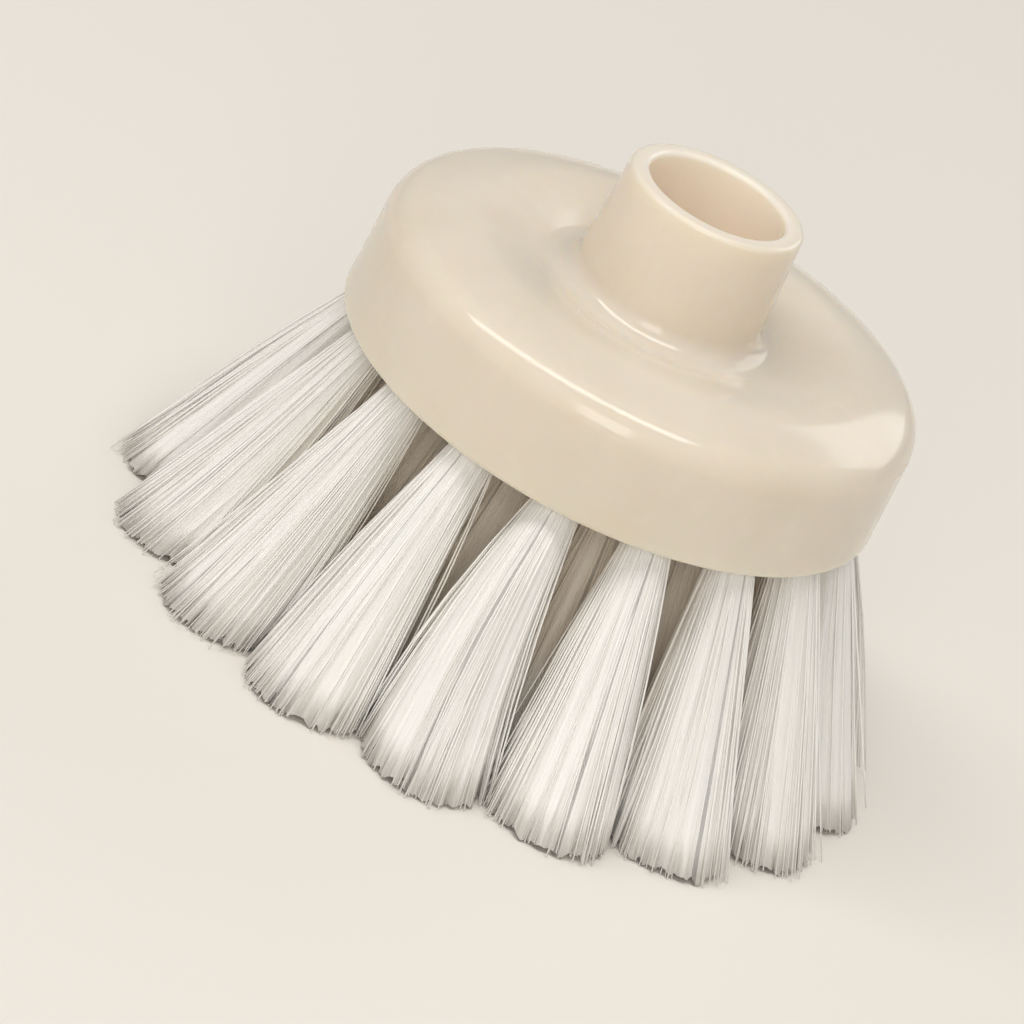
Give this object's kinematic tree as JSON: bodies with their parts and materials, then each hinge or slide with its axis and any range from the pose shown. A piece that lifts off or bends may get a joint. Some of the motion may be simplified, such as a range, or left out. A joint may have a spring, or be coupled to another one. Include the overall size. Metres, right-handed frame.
{
  "type": "round brush head",
  "caption": "Round moulded plastic brush head with a hollow handle socket on its back and rings of flared white bristle tufts in its face.",
  "frame": {"origin": "on the head's axis, in the plane of the bristle tips, where the brush head rests", "axes": "+Z along the head's axis, from the bristle tips out through the handle socket; +X through the middle of the first tuft of the outer ring"},
  "size_m": [0.0778, 0.0778, 0.0512],
  "materials": {
    "cream_plastic": "glossy ivory polypropylene, injection moulded",
    "white_filament": "fine straight white filament, satin",
    "anchor_wire": "flat drawn anchor wire"
  },
  "bodies": {
    "root": {"brush_head": "cream_plastic", "tuft_outer_01": "white_filament", "tuft_outer_02": "white_filament", "tuft_outer_03": "white_filament", "tuft_outer_04": "white_filament", "tuft_outer_05": "white_filament", "tuft_outer_06": "white_filament", "tuft_outer_07": "white_filament", "tuft_outer_08": "white_filament", "tuft_outer_09": "white_filament", "tuft_outer_10": "white_filament", "tuft_outer_11": "white_filament", "tuft_outer_12": "white_filament", "tuft_outer_13": "white_filament", "tuft_outer_14": "white_filament", "tuft_outer_15": "white_filament", "tuft_outer_16": "white_filament", "tuft_middle_01": "white_filament", "tuft_middle_02": "white_filament", "tuft_middle_03": "white_filament", "tuft_middle_04": "white_filament", "tuft_middle_05": "white_filament", "tuft_middle_06": "white_filament", "tuft_middle_07": "white_filament", "tuft_middle_08": "white_filament", "tuft_middle_09": "white_filament", "tuft_middle_10": "white_filament", "tuft_inner_01": "white_filament", "tuft_inner_02": "white_filament", "tuft_inner_03": "white_filament", "anchor_outer_01": "anchor_wire", "anchor_outer_02": "anchor_wire", "anchor_outer_03": "anchor_wire", "anchor_outer_04": "anchor_wire", "anchor_outer_05": "anchor_wire", "anchor_outer_06": "anchor_wire", "anchor_outer_07": "anchor_wire", "anchor_outer_08": "anchor_wire", "anchor_outer_09": "anchor_wire", "anchor_outer_10": "anchor_wire", "anchor_outer_11": "anchor_wire", "anchor_outer_12": "anchor_wire", "anchor_outer_13": "anchor_wire", "anchor_outer_14": "anchor_wire", "anchor_outer_15": "anchor_wire", "anchor_outer_16": "anchor_wire", "anchor_middle_01": "anchor_wire", "anchor_middle_02": "anchor_wire", "anchor_middle_03": "anchor_wire", "anchor_middle_04": "anchor_wire", "anchor_middle_05": "anchor_wire", "anchor_middle_06": "anchor_wire", "anchor_middle_07": "anchor_wire", "anchor_middle_08": "anchor_wire", "anchor_middle_09": "anchor_wire", "anchor_middle_10": "anchor_wire", "anchor_inner_01": "anchor_wire", "anchor_inner_02": "anchor_wire", "anchor_inner_03": "anchor_wire"}
  },
  "joints": []
}
